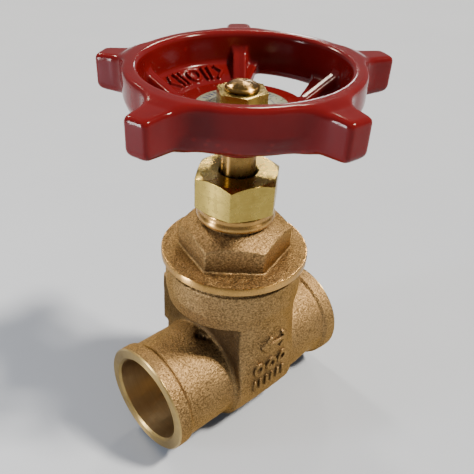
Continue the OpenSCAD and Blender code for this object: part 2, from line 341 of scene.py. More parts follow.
def hex_nut(name, flats, azimuth, low, top, bore_steps, bottom_drop, top_drop=0.577):
    """A hexagon nut whose corners are turned off above and, less steeply, below."""
    radius = hexagon(flats, azimuth)
    face_r = flats / 2 - 0.05
    corner_bevel = 0.12
    steps = [
        (face_r, low),
        (radius, lambda a: low + bottom_drop * (radius(a) - face_r)),
        (radius, lambda a: top - top_drop * (radius(a) - face_r)),
        (face_r, top),
    ] + bore_steps
    nut = turned(name, steps, segments=240)
    soften(nut, corner_bevel, angle=16)
    return nut


def place(piece, body, node, slot, *materials):
    """Give a piece its materials, and let it stand for a CAD node."""
    for material in materials:
        piece.data.materials.append(material)
    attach(piece, body)
    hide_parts(node)
    return piece


# ----------------------------------------------------------------- materials

class Nodes:
    """Small helper that strings shader nodes together."""

    def __init__(self, name):
        self.material = bpy.data.materials.new(name)
        self.material.use_nodes = True
        self.tree = self.material.node_tree
        self.shader = self.tree.nodes["Principled BSDF"]
        coords = self.tree.nodes.new("ShaderNodeTexCoord")
        self.position = coords.outputs["Object"]

    def link(self, source, socket):
        if hasattr(source, "is_output"):
            self.tree.links.new(source, socket)
        else:
            socket.default_value = source

    def set(self, **values):
        for name, value in values.items():
            self.link(value, self.shader.inputs[name.replace("_", " ")])

    def math(self, operation, a, b=0.0, c=0.0):
        node = self.tree.nodes.new("ShaderNodeMath")
        node.operation = operation
        for socket, value in zip(node.inputs, (a, b, c)):
            self.link(value, socket)
        return node.outputs[0]

    def noise(self, size, detail=3.0, roughness=0.55, position=None):
        """Noise with features about size millimetres across."""
        node = self.tree.nodes.new("ShaderNodeTexNoise")
        self.link(self.position if position is None else position, node.inputs["Vector"])
        node.inputs["Scale"].default_value = 1 / (size * MM)
        node.inputs["Detail"].default_value = detail
        node.inputs["Roughness"].default_value = roughness
        return node.outputs["Fac"]

    def cells(self, size):
        node = self.tree.nodes.new("ShaderNodeTexVoronoi")
        self.link(self.position, node.inputs["Vector"])
        node.inputs["Scale"].default_value = 1 / (size * MM)
        return node.outputs["Distance"]

    def ramp(self, value, *stops):
        node = self.tree.nodes.new("ShaderNodeValToRGB")
        self.link(value, node.inputs["Fac"])
        elements = node.color_ramp.elements
        while len(elements) < len(stops):
            elements.new(0.5)
        for element, (at, colour) in zip(elements, stops):
            element.position = at
            shade = colour if isinstance(colour, tuple) else (colour,) * 3
            element.color = (*shade, 1)
        return node.outputs["Color"]

    def mix(self, amount, a, b):
        node = self.tree.nodes.new("ShaderNodeMix")
        node.data_type = "RGBA"
        self.link(amount, node.inputs["Factor"])
        for name, value in (("A", a), ("B", b)):
            socket = [s for s in node.inputs if s.name == name and s.type == "RGBA"][0]
            self.link((*value, 1) if isinstance(value, tuple) else value, socket)
        return [s for s in node.outputs if s.type == "RGBA"][0]

    def stain_and_shade(self, mask, strength, under, over):
        """The colour over, laid on the colour under where the mask says: used for stains and for painted
        shade.
        """
        return self.mix(self.math("MULTIPLY", mask, strength), under, over)

    def bump(self, height, distance, strength=1.0, below=None):
        """Bump by a height of distance millimetres, on top of the bump below."""
        node = self.tree.nodes.new("ShaderNodeBump")
        node.inputs["Distance"].default_value = distance * MM
        node.inputs["Strength"].default_value = strength
        self.link(height, node.inputs["Height"])
        if below is not None:
            self.link(below, node.inputs["Normal"])
        return node.outputs["Normal"]

    def parts(self):
        """The three coordinates of the point, in metres."""
        node = self.tree.nodes.new("ShaderNodeSeparateXYZ")
        self.link(self.position, node.inputs[0])
        return node.outputs

    def length(self, a, b):
        """Distance from the axis that a and b are measured from."""
        return self.math("SQRT", self.math("ADD", self.math("MULTIPLY", a, a), self.math("MULTIPLY", b, b)))

    def across_the_lines(self, radius, along):
        """Direction across the tool lines: outwards on a face, lengthwise on a cylinder."""
        x, y, z = self.parts()
        node = self.tree.nodes.new("ShaderNodeCombineXYZ")
        for socket, value in zip(node.inputs, (radius, y, z) if along == "x" else (x, y, radius)):
            self.link(value, socket)
        turn = self.tree.nodes.new("ShaderNodeVectorTransform")
        turn.vector_type = "VECTOR"
        turn.convert_from = "OBJECT"
        turn.convert_to = "WORLD"
        self.link(node.outputs[0], turn.inputs[0])
        return turn.outputs[0]

    def hollow(self, reach):
        """Ambient occlusion, 0 in corners and 1 in the open."""
        node = self.tree.nodes.new("ShaderNodeAmbientOcclusion")
        node.inputs["Distance"].default_value = reach * MM
        node.samples = 8
        return node.outputs["AO"]

    def edges(self):
        """How sharply the surface turns: above one half on outward edges."""
        node = self.tree.nodes.new("ShaderNodeNewGeometry")
        return node.outputs["Pointiness"]

    def facing_x(self):
        """How squarely the surface faces along the pipe, either way: 0 to 1."""
        surface = self.tree.nodes.new("ShaderNodeNewGeometry")
        node = self.tree.nodes.new("ShaderNodeSeparateXYZ")
        self.link(surface.outputs["True Normal"], node.inputs[0])
        return self.math("ABSOLUTE", node.outputs[0])


def recess_painted_shade(n):
    """Mask of painted shade on the end walls of the chamber, under the ledge, where the neck overhangs
    them.
    """
    x, y, z = n.parts()
    along = n.math("DIVIDE", n.math("ABSOLUTE", x), 2 * CHAMBER_X * MM)
    height = n.math("DIVIDE", z, LEDGE_Z * MM)
    near = n.ramp(along, (0.53, 1.0), (0.64, 0.0))
    wall = n.math("MULTIPLY", near, n.ramp(n.facing_x(), (0.5, 0.0), (0.8, 1.0)))
    return n.math("MULTIPLY", wall, n.ramp(height, (0.1, 0.0), (0.5, 1.0), (0.99, 1.0), (1.0, 0.0)))


def cast_bronze():
    """Sand-cast bronze: a fine sandy skin, gold on its grains, with painted shade in its hollows and
    creases.
    """
    brown, middle, tan = (0.175, 0.108, 0.047), (0.230, 0.148, 0.068), (0.265, 0.176, 0.086)
    # The last of these colours is painted shade for tight creases.
    gold, pit, painted_crease_shade = (0.56, 0.36, 0.15), (0.05, 0.03, 0.02), (0.035, 0.022, 0.014)
    n = Nodes("cast_bronze")
    grain = n.noise(0.42, 3, 0.65)
    lumps = n.noise(1.1, 3, 0.6)
    colour = n.ramp(n.noise(8, 3), (0.3, brown), (0.55, middle), (0.75, tan))
    colour = n.stain_and_shade(n.ramp(grain, (0.45, 0.0), (0.68, 1.0)), 0.75, colour, gold)
    colour = n.mix(n.ramp(grain, (0.32, 0.75), (0.45, 0.0)), colour, (0.06, 0.036, 0.017))
    # Painted shade: darker brown where the surface lies in a hollow or under an overhang.
    colour = n.stain_and_shade(n.ramp(n.hollow(9), (0.25, 1.0), (0.8, 0.0)), 0.85, colour, (0.035, 0.023, 0.013))
    # Painted shade: tight creases, such as the one under the flange, turn nearly black.
    colour = n.stain_and_shade(n.ramp(n.hollow(2.0), (0.35, 1.0), (0.8, 0.0)), 0.85, colour, painted_crease_shade)
    # Painted shade: the chamber's end walls under the ledge are darkened.
    colour = n.stain_and_shade(recess_painted_shade(n), 0.8, colour, (0.050, 0.032, 0.019))
    pits = n.ramp(n.cells(3.3), (0.0, 0.0), (0.10, 1.0))
    colour = n.stain_and_shade(n.math("SUBTRACT", 1.0, pits), 0.4, colour, pit)
    normal = n.bump(lumps, 0.16, 1.0)
    normal = n.bump(grain, 0.23, 1.0, normal)
    normal = n.bump(pits, 0.08, 0.6, normal)
    n.set(Base_Color=colour, Metallic=1.0, Normal=normal)
    n.set(Roughness=n.ramp(n.noise(0.6, 3), (0.3, 0.38), (0.7, 0.56)))
    n.set(Specular_Tint=(0.85, 0.62, 0.36, 1))
    return n.material


def machined(name, light, dark, ring_size, along, smooth=0.22, rough=0.36):
    """Turned metal: fine tool lines, in rings round the X or the Z axis."""
    n = Nodes(name)
    x, y, z = n.parts()
    if along == "x":
        radius, height = n.length(y, z), x
    else:
        radius, height = n.length(x, y), z
    where = n.tree.nodes.new("ShaderNodeCombineXYZ")
    n.link(radius, where.inputs[0])
    n.link(height, where.inputs[1])
    lines = n.noise(ring_size, 3, 0.6, where.outputs[0])
    colour = n.stain_and_shade(n.ramp(n.noise(6, 3), (0.35, 0.0), (0.7, 1.0)), 0.45, light, dark)
    colour = n.stain_and_shade(n.ramp(lines, (0.4, 0.0), (0.7, 1.0)), 0.3, colour, dark)
    # Painted shade: darker where the surface is hollow or close to another part.
    colour = n.stain_and_shade(n.ramp(n.hollow(3), (0.3, 1.0), (0.9, 0.0)), 0.4, colour, (0.10, 0.065, 0.03))
    normal = n.bump(lines, 0.012, 0.7)
    normal = n.bump(n.noise(0.8, 2), 0.006, 0.5, normal)
    n.set(Base_Color=colour, Metallic=1.0, Normal=normal)
    n.set(Roughness=n.ramp(n.noise(1.5, 3), (0.3, smooth), (0.7, rough)))
    n.set(Anisotropic=0.8, Tangent=n.across_the_lines(radius, along))
    return n.material


def red_enamel():
    """Dipped gloss enamel over a casting: even red, orange peel, dust and a few pits."""
    n = Nodes("red_enamel")
    colour = n.ramp(n.noise(11, 3), (0.3, (0.094, 0.0042, 0.0052)), (0.7, (0.122, 0.006, 0.0068)))
    thin_on_edges = n.ramp(n.edges(), (0.5, 0.0), (0.62, 1.0))
    colour = n.stain_and_shade(thin_on_edges, 0.2, colour, (0.3, 0.012, 0.01))
    # Painted shade: a little darker where the surface is hollow.
    colour = n.stain_and_shade(n.ramp(n.hollow(4), (0.3, 1.0), (0.9, 0.0)), 0.45, colour, (0.10, 0.004, 0.006))
    specks = n.ramp(n.cells(3.1), (0.0, 1.0), (0.05, 0.0))
    colour = n.stain_and_shade(specks, 0.5, colour, (0.06, 0.01, 0.01))
    normal = n.bump(n.noise(2.6, 2), 0.035, 0.55)
    normal = n.bump(n.noise(0.9, 2), 0.008, 0.5, normal)
    n.set(Base_Color=colour, Metallic=0.0, Normal=normal)
    n.set(Roughness=n.ramp(n.noise(1.2, 3), (0.3, 0.10), (0.7, 0.17)))
    n.set(Specular_IOR_Level=0.16)
    return n.material


def printed_plate():
    """Pale lacquered disc with a generic print of a ring and dashes."""
    ink, dash_count, gap_count = (0.02, 0.03, 0.12), 46.0, 5.0
    n = Nodes("printed_plate")
    x, y, _ = n.parts()
    radius = n.length(x, y)
    angle = n.math("ARCTAN2", y, x)
    dash = n.math("GREATER_THAN", n.math("SINE", n.math("MULTIPLY", angle, dash_count)), 0.15)
    gaps = n.math("GREATER_THAN", n.math("SINE", n.math("MULTIPLY", angle, gap_count)), -0.55)

    def band(middle, half):
        off = n.math("ABSOLUTE", n.math("SUBTRACT", radius, middle * MM))
        return n.math("LESS_THAN", off, half * MM)

    dashes = n.math("MULTIPLY", n.math("MULTIPLY", dash, gaps), band(8.5, 0.75))
    marks = n.math("MAXIMUM", dashes, band(7.0, 0.14))
    wear = n.ramp(n.noise(0.5, 3), (0.35, 0.4), (0.6, 1.0))
    paper = n.ramp(n.noise(3, 3), (0.3, (0.19, 0.21, 0.16)), (0.7, (0.24, 0.265, 0.21)))
    n.set(Base_Color=n.mix(n.math("MULTIPLY", marks, wear), paper, ink), Metallic=0.25)
    n.set(Roughness=n.ramp(n.noise(1, 2), (0.3, 0.22), (0.7, 0.4)))
    n.set(Normal=n.bump(n.noise(2, 2), 0.01, 0.4))
    return n.material


def pressed(name, light, dark, grain_size, rough_low, rough_high):
    """Matte pressed stuff, such as packing and gasket sheet."""
    n = Nodes(name)
    colour = n.ramp(n.noise(grain_size, 4), (0.35, dark), (0.65, light))
    n.set(Base_Color=colour, Roughness=n.ramp(n.noise(1, 2), (0.3, rough_low), (0.7, rough_high)))
    n.set(Normal=n.bump(n.noise(grain_size, 3), 0.05, 0.8))
    return n.material


def floor_material():
    n = Nodes("pale_floor")
    colour = n.ramp(n.noise(60, 2), (0.3, (0.37, 0.415, 0.505)), (0.7, (0.385, 0.43, 0.52)))
    n.set(Base_Color=colour, Roughness=0.75)
    return n.material


# ---------------------------------------------------------------- valve body

def chamber_side(x, z):
    """Half-width of the chamber across the pipe: round as the neck above, flatter below."""
    round_r, bow = 16.25, 400
    blend_from, blend_height = 1, 17
    round_side = np.sqrt(np.maximum(round_r ** 2 - x * x, 1))
    flat_side = CHAMBER_R - x * x / bow
    return flat_side + (round_side - flat_side) * ease((z - blend_from) / blend_height)


def arrow(u, v, half_length, barb, half_width):
    """Outline of a two-way arrow along u."""
    marks = segment(u, v, (-half_length, 0), (half_length, 0), half_width)
    for side in (-1, 1):
        for rise in (-barb, barb):
            tip, tail = (side * half_length, 0), (side * (half_length - barb), rise)
            marks = np.minimum(marks, segment(u, v, tip, tail, half_width))
    return marks


def body_marks(x, z):
    """Outline of generic raised marks: a two-way flow arrow over rings and bars."""
    arrow_z, ring_z, bar_low, bar_high = 14.4, 6.6, -0.4, 2.4
    ring_r, ring_half_width, ring_height = 1.35, 0.5, 1.25
    marks = arrow(x - 0.3, z - arrow_z, 4.3, 2.2, 0.62)
    for column in (-4.1, 0.0, 4.1):
        ring = np.abs(np.hypot(x - column, (z - ring_z) / ring_height) - ring_r) - ring_half_width
        marks = np.minimum(marks, ring)
        for side in (-0.95, 0.95):
            bar = segment(x, z, (column + side, bar_low), (column + side, bar_high), 0.5)
            marks = np.minimum(marks, bar)
    return marks


def pipe_shape(x, y, z):
    """The pipe with a bead at each end and a shallow waist under the outlet."""
    bead_start, bead_blend, spare = END_X - BEAD_W - 1.2, 1.3, 0.6
    waist_x, waist_length, waist_depth = 20.5, 4, 0.75
    radius = PIPE_R + (BEAD_R - PIPE_R) * ease((np.abs(x) - bead_start) / bead_blend)
    radius = radius - waist_depth * np.exp(-(((x - waist_x) / waist_length) ** 2)) * ease(-z / 8)
    return smooth_max(np.hypot(y, z) - radius, np.abs(x) - END_X - spare, 0.5)


def chamber_shape(x, y, z):
    """The gate chamber, short along the pipe, with a flat panel on its back."""
    panel_low, panel_draft, overlap = 6, 0.015, 0.6
    ends = np.abs(x) - CHAMBER_X
    rounded = np.hypot(y, z) - chamber_side(x, 0 * z)
    side = np.where(z > 0, np.abs(y) - chamber_side(x, z), rounded)
    panel = smooth_max(ends, y - PANEL_Y + panel_draft * z, 0.8)
    panel = smooth_max(panel, np.maximum(panel_low - z, -y), 1.0)
    chamber = smooth_min(smooth_max(ends, side, 0.55), panel, 0.5)
    return np.maximum(chamber, z - LEDGE_Z - overlap)


def neck_shape(x, y, z):
    """The round neck over the ledge, slimmer low down and grooved under the bonnet."""
    draft, draft_top, draft_height = 0.6, 26, 5
    groove, groove_height, groove_blend = 0.5, 1.25, 0.35
    radius = NECK_R - draft * ease((draft_top - z) / draft_height)
    radius = radius - groove * ease((z - NECK_TOP + groove_height) / groove_blend)
    return smooth_max(np.hypot(x, y) - radius, LEDGE_Z - z, 0.5)


def body_outside(x, y, z):
    """The casting as it leaves the sand, with its raised marks and two scars."""
    mark_height, marks_reach_y = 0.65, -6
    cast = smooth_min(chamber_shape(x, y, z), neck_shape(x, y, z), 0.4)
    cast = smooth_min(cast, pipe_shape(x, y, z), 1.3) + skin(x, y, z, 7.5)
    marks = np.maximum(body_marks(x, z), y - marks_reach_y)
    cast = smooth_min(cast, np.maximum(cast - mark_height, marks), 0.3)
    for scar_x, scar_y, scar_z, scar_r in SCARS:
        scar = np.sqrt((x - scar_x) ** 2 + (y - scar_y) ** 2 + (z - scar_z) ** 2) - scar_r
        cast = smooth_max(cast, -scar, 0.4)
    return cast


def body_cavity(x, y, z):
    """The cored space that the wedge moves in, less the seats and guide ribs."""
    core_x, core_y = 7.6, 12.8
    neck_bore_r, neck_bore_low = 13.2, 23.6
    thread_r, thread_low = 14.05, 26.5
    seat_r, seat_x, seat_slope = 11.6, 5.65, 0.0612
    rib_x, rib_y, rib_middle, rib_half = 1.5, 10.4, 7.3, 13.3
    across = np.hypot(y, z)
    core = smooth_max(np.where(z > 0, np.abs(y), across) - core_y, np.abs(x) - core_x, 1.5)
    neck = np.maximum(np.hypot(x, y) - neck_bore_r, neck_bore_low - z)
    thread = np.maximum(np.hypot(x, y) - thread_r, thread_low - z)
    core = np.minimum(np.minimum(core, neck), thread)
    seat = np.maximum(across - seat_r, seat_x + seat_slope * z - np.abs(x))
    rib = np.maximum(np.abs(x) - rib_x, rib_y - np.abs(y))
    rib = np.maximum(rib, np.abs(z - rib_middle) - rib_half)
    return np.maximum(core, -np.minimum(seat, rib))


def socket_cutter():
    """Everything that the tool turns away: both sockets, the port and the end faces."""
    stop_x = END_X - SOCKET_DEPTH
    mouth_chamfer, stop_chamfer, edge = 0.55, 0.3, 0.35
    clear = 4
    half = [
        (PORT_R, stop_x - stop_chamfer), (PORT_R + stop_chamfer, stop_x),
        (SOCKET_R, stop_x), (SOCKET_R, END_X - mouth_chamfer),
        (SOCKET_R + mouth_chamfer, END_X), (BEAD_R - edge, END_X), (BEAD_R + 0.05, END_X - edge),
        (BEAD_R + clear, END_X - edge), (BEAD_R + clear, END_X + clear), (0.001, END_X + clear),
    ]
    outline = [(r, -h) for r, h in reversed(half)] + half
    cutter = turned("cutter", outline, closed=False, segments=192, along="x")
    fix_normals(cutter)
    return cutter


def fix_normals(piece):
    """Turn every face outwards."""
    mesh = bmesh.new()
    mesh.from_mesh(piece.data)
    bmesh.ops.recalc_face_normals(mesh, faces=mesh.faces)
    mesh.to_mesh(piece.data)
    mesh.free()


def paint_faces(piece, rule):
    """Give each face the material index that rule(centre) returns, in millimetres."""
    mesh = piece.data
    centre = np.empty(len(mesh.polygons) * 3)
    mesh.polygons.foreach_get("center", centre)
    index = rule(centre.reshape(-1, 3) / MM)
    mesh.polygons.foreach_set("material_index", index.astype(np.int32))
    mesh.update()


def body_finish(centre):
    """Material of each face of the body: 0 as cast, 1 turned face, 2 bored."""
    seat_x = 4.9
    along = np.abs(centre[:, 0])
    across = np.hypot(centre[:, 1], centre[:, 2])
    face = along > END_X - 0.4
    bore = (across < SOCKET_R + 0.1) & (along > seat_x) & (along < END_X - 0.5)
    return np.where(bore, 2, np.where(face, 1, 0))


def body_solid(x, y, z):
    """The body's casting, cored and faced off at the top."""
    outside = np.maximum(body_outside(x, y, z), z - NECK_TOP)
    return np.maximum(outside, -body_cavity(x, y, z))


def valve_body(cast, turned_metal, bored_metal):
    piece = cast_piece("valve_body_casting", body_solid, BODY_LOW, BODY_HIGH, BODY_CELL)
    combine(piece, socket_cutter(), "DIFFERENCE")
    crisp(piece, 40)
    place(piece, "valve", "valve_body", "cast_bronze", cast, turned_metal, bored_metal)
    paint_faces(piece, body_finish)


# -------------------------------------------------------------------- bonnet

def bonnet_casting(x, y, z):
    """The flange and the hexagon over it, whose corners slope down from the bead."""
    spare = 0.6
    shoulder_out, shoulder_up = 0.47, 0.883
    rho = np.hypot(x, y)
    flange = np.maximum(rho - FLANGE_R - spare, np.maximum(z - FLANGE_TOP, FLANGE_Z - spare - z))
    flats = BONNET_HEX_R * math.cos(TURN / 12)
    angle = np.mod(np.arctan2(y, x) - math.radians(BONNET_HEX_AZIMUTH), TURN / 6) - TURN / 12
    sides = rho * np.cos(angle) - flats
    sides = smooth_max(sides, rho * np.cos(np.abs(angle) - TURN / 6) - flats, 0.4)
    shoulder = (z - BONNET_HEX_TOP) * shoulder_up + (rho - BONNET_HEX_R) * shoulder_out
    hexagonal = np.maximum(smooth_max(sides, shoulder, 0.35), FLANGE_TOP - 1 - z)
    return smooth_min(flange, hexagonal, 0.5) + skin(x, y, z, 5.5)


def bonnet_neck(rho, z):
    """The turned top of the bonnet: a bead over a collar, a land and the threaded stub."""
    bead_r, bead_round, bead_z = 8.05, 1.25, 45.1
    bead = np.hypot(rho - bead_r, z - bead_z) - bead_round
    collar = np.maximum(rho - 8.1, np.maximum(z - 46.4, 40 - z))
    land = smooth_max(rho - 8.8, np.maximum(z - 47.3, 45 - z), 0.3)
    stub = np.maximum(rho - 7.6, np.maximum(z - BONNET_HIGH[2], 46 - z))
    return np.minimum(smooth_min(np.minimum(bead, collar), land, 0.25), stub)


def bonnet_cavity(rho, z):
    """Room for the raised wedge, the stem's collar, and the stuffing box."""
    room_low, room_high, room_low_r, room_high_r = 34, 37, 12.2, 6.5
    room = np.maximum(rho - np.interp(z, [room_low, room_high], [room_low_r, room_high_r]), z - 40)
    stem_hole_r, box_r, box_low = 3.4, 6.0, 42
    hole = np.minimum(rho - stem_hole_r, np.maximum(rho - box_r, box_low - z))
    return np.minimum(room, hole)


def bonnet_shape(x, y, z):
    rho = np.hypot(x, y)
    spigot_r = 14.0
    spigot = np.maximum(rho - spigot_r, np.maximum(BONNET_LOW[2] - z, z - FLANGE_Z - 1))
    solid = smooth_min(bonnet_casting(x, y, z), bonnet_neck(rho, z), 0.5)
    return np.maximum(np.minimum(solid, spigot), -bonnet_cavity(rho, z))


def bonnet_envelope():
    """What the lathe leaves of the casting: the flange's rim and underside."""
    low, top = BONNET_LOW[2] - 1, BONNET_HIGH[2] + 2
    inner_r, chamfer, lip = 14.3, 0.2, 0.3
    envelope = turned("envelope", [
        (0.001, low), (inner_r, low), (inner_r, FLANGE_Z),
        (FLANGE_R - chamfer, FLANGE_Z), (FLANGE_R, FLANGE_Z + chamfer),
        (FLANGE_R, FLANGE_TOP - 0.25), (FLANGE_R - lip, FLANGE_TOP + 0.15),
        (FLANGE_R - lip, top), (0.001, top),
    ], segments=180)
    fix_normals(envelope)
    return envelope


def bonnet_finish(centre):
    """True on the turned faces: the flange's rim and underside, and all above the hexagon."""
    turned_above, stem_clear_r = 44.0, 5
    rho, z = np.hypot(centre[:, 0], centre[:, 1]), centre[:, 2]
    rim = (rho > FLANGE_R - 0.31) & (z < FLANGE_TOP + 0.1)
    return rim | (z > turned_above) & (rho > stem_clear_r) | (z < FLANGE_Z)


def bonnet(cast, turned_metal):
    piece = cast_piece("bonnet_casting", bonnet_shape, BONNET_LOW, BONNET_HIGH, BONNET_CELL)
    combine(piece, bonnet_envelope(), "INTERSECT")
    crisp(piece, 40)
    place(piece, "valve", "bonnet", "cast_bronze", cast, turned_metal)
    paint_faces(piece, bonnet_finish)


# ------------------------------------------------------------- turned pieces

def packing_nut(brass):
    low, top = NUT_LOW[2], NUT_HIGH[2]
    flats, azimuth = 18.0, 38.15
    hole_r, thread_r, roof, chamfer = 4.4, 7.65, 2, 0.25
    bore = [
        (hole_r + chamfer, top), (hole_r, top - chamfer), (hole_r, top - roof),
        (thread_r, top - roof), (thread_r, low),
    ]
    piece = hex_nut("packing_nut_turned", flats, azimuth, low, top, bore, 0.35)
    place(piece, "valve", "packing_nut", "yellow_brass", brass)


def uneven(r):
    """A hammered outline: the radius wanders by a few hundredths of a millimetre."""
    def radius(angle):
        wander = np.sin(3 * angle + 0.5) + 0.7 * np.sin(5 * angle + r) + 0.5 * np.sin(8 * angle)
        return r * (1 + 0.016 * wander)
    return radius


def spread_head(low, tip):
    """Steps of the stud's end, spread with a hammer over the nut: a low uneven dome."""
    head_r = 3.62
    dome = (
        (1.0, 0.06), (1.02, 0.25), (0.97, 0.42), (0.86, 0.62),
        (0.70, 0.80), (0.5, 0.92), (0.25, 0.985),
    )
    return [(head_r * r, low + (tip - low) * rise) for r, rise in dome]


def stem_thread(z):
    """Radius of the left-hand thread at a height, against the angle."""
    fade = ease((THREAD_TOP - z) / 1.5)

    def radius(angle):
        phase = np.mod(z / THREAD_LEAD + angle / TURN, 1)
        groove = np.clip((0.35 - np.abs(phase - 0.5)) / 0.2, 0, 1)
        return THREAD_CREST_R - THREAD_DEPTH * groove * fade
    return radius


def stem_square(angle):
    """Radius of the square under the wheel, with turned corners."""
    corner_r, half_side = 3.95, 3.1
    flat = np.mod(angle + TURN / 8, TURN / 4) - TURN / 8
    return np.minimum(corner_r, half_side / np.cos(flat))


def stem(brass):
    """Left-hand thread, thrust collar, shank, square for the wheel and domed stud."""
    low, tip, nut_top = STEM_LOW[2], STEM_HIGH[2], WHEEL_NUT_HIGH[2]
    point_r, collar_r, collar_low, collar_top, chamfer = 2.2, 5.8, 42.0, 44.5, 0.2
    shank_r, square_low, square_top = 3.96, 61.0, HUB_TOP - 0.3
    relief_r, stud_r, head_low, ring_height = 2.7, 3.0, nut_top + 0.05, 0.15
    steps = [(0.001, low), (point_r, low)]
    steps += [(stem_thread(z), z) for z in np.arange(low + 0.3, THREAD_TOP + 0.2, ring_height)]
    steps += [
        (THREAD_CREST_R, THREAD_TOP + 0.5), (THREAD_CREST_R, collar_low),
        (collar_r - chamfer, collar_low), (collar_r, collar_low + chamfer),
        (collar_r, collar_top - chamfer), (collar_r - chamfer, collar_top),
        (shank_r, collar_top), (shank_r, square_low),
        (stem_square, square_low), (stem_square, square_top),
        (relief_r, square_top), (relief_r, HUB_TOP),
        (stud_r, HUB_TOP + 0.3), (stud_r, nut_top - 0.25), (stud_r + 0.3, head_low),
    ]
    steps += [(uneven(r), z) for r, z in spread_head(head_low, tip)]
    steps.append((0.001, tip))
    piece = turned("stem_turned", steps, closed=False, segments=96)
    crisp(piece, 30)
    place(piece, "spindle", "stem", "yellow_brass", brass)


def handwheel_nut(brass):
    low, top = WHEEL_NUT_LOW[2], WHEEL_NUT_HIGH[2]
    flats, azimuth, hole_r = 10.0, 56.0, 3.06
    bore = [(3.35, top), (hole_r, top - 0.3), (hole_r, low)]
    piece = hex_nut("handwheel_nut_turned", flats, azimuth, low, top, bore, 0.1, 0.12)
    place(piece, "spindle", "handwheel_nut", "yellow_brass", brass)


def identification_plate(printed):
    low, top = PLATE_LOW[2], PLATE_HIGH[2]
    outer = PLATE_HIGH[0]
    piece = turned("identification_plate_disc", [
        (3.2, low), (outer - 0.05, low), (outer, low + 0.12), (outer - 0.03, top - 0.12),
        (outer - 0.3, top), (3.3, top - 0.06),
    ], segments=144)
    crisp(piece, 50)
    place(piece, "spindle", "identification_plate", "printed_plate", printed)


# ----------------------------------------------------------------- handwheel

def wheel_sector(x, y, azimuth):
    """Radial and sideways coordinates about one spoke."""
    a = math.radians(azimuth)
    return x * math.cos(a) + y * math.sin(a), -x * math.sin(a) + y * math.cos(a)


def wheel_window(x, y, rho, azimuth):
    """Distance into the open sector that starts at a spoke, negative inside."""
    flare, taper, half, edge_r = 0.9, 0.33, 2.1, 14.2
    u, v = wheel_sector(x, y, azimuth)
    near = (half + flare * (u - edge_r) - v) / math.hypot(1, flare)
    u, v = wheel_sector(x, y, azimuth + 360 / LUGS)
    far = (v + half + taper * (u - edge_r)) / math.hypot(1, taper)
    u, v = wheel_sector(x, y, azimuth + 180 / LUGS)
    sides = np.maximum(smooth_max(near, far, 0.4), 4 - u)
    ring = np.maximum(edge_r - rho, rho - 26)
    return smooth_max(sides, ring, 0.3)


def wheel_marks(x, y, rho):
    """Generic raised marks on the solid sector: a ring and bars between two chevrons."""
    middle_r, half_height, half_width = 17.7, 1.9, 0.34
    u, v = wheel_sector(x, y, LUG_AZIMUTH + 180 / LUGS)
    along, out = np.arctan2(v, u) * middle_r, rho - middle_r
    marks = np.abs(np.hypot(along / 0.8, out) - 1.7) - 0.33
    for side in (-1, 1):
        for bar in (2.9, 4.3):
            low, high = (side * bar, -half_height), (side * bar, half_height)
            marks = np.minimum(marks, segment(along, out, low, high, half_width))
        for rise in (-half_height, half_height):
            point, tail = (side * 7.2, 0), (side * 5.8, rise)
            marks = np.minimum(marks, segment(along, out, point, tail, half_width))
    return marks


def wheel_rim(x, y, z, rho, top):
    """The rim and its lugs: one outline from above, between sloping upper and lower faces."""
    toe_height, toe_depth, lug_half, lug_flare = 4.6, 1.35, 2.75, 0.12
    plan = rho - (RIM_R + 0.12 - toe_depth * ease((RIM_LOW + toe_height - z) / toe_height))
    for k in range(LUGS):
        u, v = wheel_sector(x, y, LUG_AZIMUTH + k * 360 / LUGS)
        half = lug_half + lug_flare * np.clip(LUG_TIP_R - u, 0, 9)
        lug = smooth_max(np.abs(v) - half, u - LUG_TIP_R - LUG_EXTRA[k], 1.1)
        plan = smooth_min(plan, np.maximum(lug, 15 - u), 4.6)
    low = RIM_LOW - 0.15 + 0.7 * ease((rho - 23.8) / 3) + 0.05 * np.clip(rho - 26, 0, 7)
    inner_r, inner_draft = 21.0, 0.57
    inner = inner_r + inner_draft * (z - RIM_LOW) / RIM_HEIGHT - rho
    rim = smooth_max(plan, inner, 0.4)
    rim = smooth_max(rim, z - top, 1.2)
    return smooth_max(rim, low - z, 1.8)


def wheel_rib(u, v, z, web_low):
    """One spoke's rib: a rounded ridge that climbs from the hub to the rim."""
    ridge_z, ridge_slope, start_r, end_r = 71.3, 0.70, 9, 23
    half, flank_slope = 1.45, 0.3
    ridge = ridge_z + ridge_slope * (u - 14.6) + 0.12 * np.abs(v)
    flank = (np.abs(v) - half - flank_slope * np.maximum(ridge - z, 0)) / 1.04
    rib = smooth_max((z - ridge) * 0.82, flank, 0.35)
    rib = np.maximum(rib, np.maximum(web_low - z, np.maximum(start_r - u, u - end_r)))
    return smooth_max(rib, np.abs(v) - 2.2 - 0.3 * np.maximum(u - 14.2, 0), 0.5)


